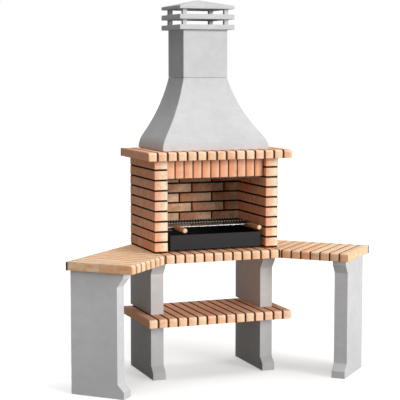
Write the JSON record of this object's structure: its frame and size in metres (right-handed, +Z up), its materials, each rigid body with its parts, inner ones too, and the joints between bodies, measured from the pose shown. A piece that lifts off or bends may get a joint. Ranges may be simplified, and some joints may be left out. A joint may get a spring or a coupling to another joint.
{
  "type": "masonry barbecue",
  "caption": "Brick barbecue with an open firebox under a flared concrete hood and capped chimney, on concrete legs, with a shelf below and a slanted side table on each side.",
  "frame": {"origin": "on the ground, under the middle of the whole object's bounding box", "axes": "+X to the right seen from the open front of the firebox, +Y to the back, +Z up"},
  "size_m": [1.9006, 0.8986, 2.2385],
  "materials": {
    "brick": "fired clay, salmon to cream, matt",
    "mortar": "dark brown mortar, recessed",
    "concrete": "pale grey cast concrete, softly mottled",
    "black_steel": "black heat-proof paint, satin",
    "bare_steel": "plain rolled steel, dull",
    "chrome": "bright plated wire",
    "wood": "turned beech, oiled"
  },
  "bodies": {
    "masonry": {"back_panel_bricks": "brick", "cap_lower_ring": "concrete", "cap_middle_ring": "concrete", "cap_pyramid": "concrete", "cornice_back_bar": "bare_steel", "cornice_front_bar": "bare_steel", "cornice_mortar": "mortar", "cornice_slips": "brick", "firebox_mortar": "mortar", "flue": "concrete", "hood": "concrete", "left_grill_ledge": "bare_steel", "left_lower_leg": "concrete", "left_outer_leg": "concrete", "left_table_back_bar": "bare_steel", "left_table_front_bar": "bare_steel", "left_table_mortar": "mortar", "left_table_slips": "brick", "left_upper_leg": "concrete", "left_wall_course_1": "brick", "left_wall_course_2": "brick", "left_wall_course_3": "brick", "left_wall_course_4": "brick", "left_wall_course_5": "brick", "left_wall_course_6": "brick", "left_wall_course_7": "brick", "left_wall_course_8": "brick", "left_wall_course_9": "brick", "lintel_bar": "bare_steel", "lintel_soldiers": "brick", "right_grill_ledge": "bare_steel", "right_lower_leg": "concrete", "right_outer_leg": "concrete", "right_table_back_bar": "bare_steel", "right_table_front_bar": "bare_steel", "right_table_mortar": "mortar", "right_table_slips": "brick", "right_upper_leg": "concrete", "right_wall_course_1": "brick", "right_wall_course_2": "brick", "right_wall_course_3": "brick", "right_wall_course_4": "brick", "right_wall_course_5": "brick", "right_wall_course_6": "brick", "right_wall_course_7": "brick", "right_wall_course_8": "brick", "right_wall_course_9": "brick", "shelf_back_bar": "bare_steel", "shelf_front_bar": "bare_steel", "shelf_mortar": "mortar", "shelf_slips": "brick", "worktop_back_bar": "bare_steel", "worktop_front_bar": "bare_steel", "worktop_mortar": "mortar", "worktop_slips": "brick"},
    "grill": {"grill": "chrome", "left_handle": "wood", "right_handle": "wood"},
    "tray": {"charcoal_tray": "black_steel"}
  },
  "joints": [
    {"name": "grill_slide", "type": "slide", "parent": "masonry", "child": "grill", "axis": [0, -1, 0], "range_m": [-0.008, 0.2]},
    {"name": "tray_slide", "type": "slide", "parent": "masonry", "child": "tray", "axis": [0, -1, 0], "range_m": [-0.018, 0.3]}
  ]
}
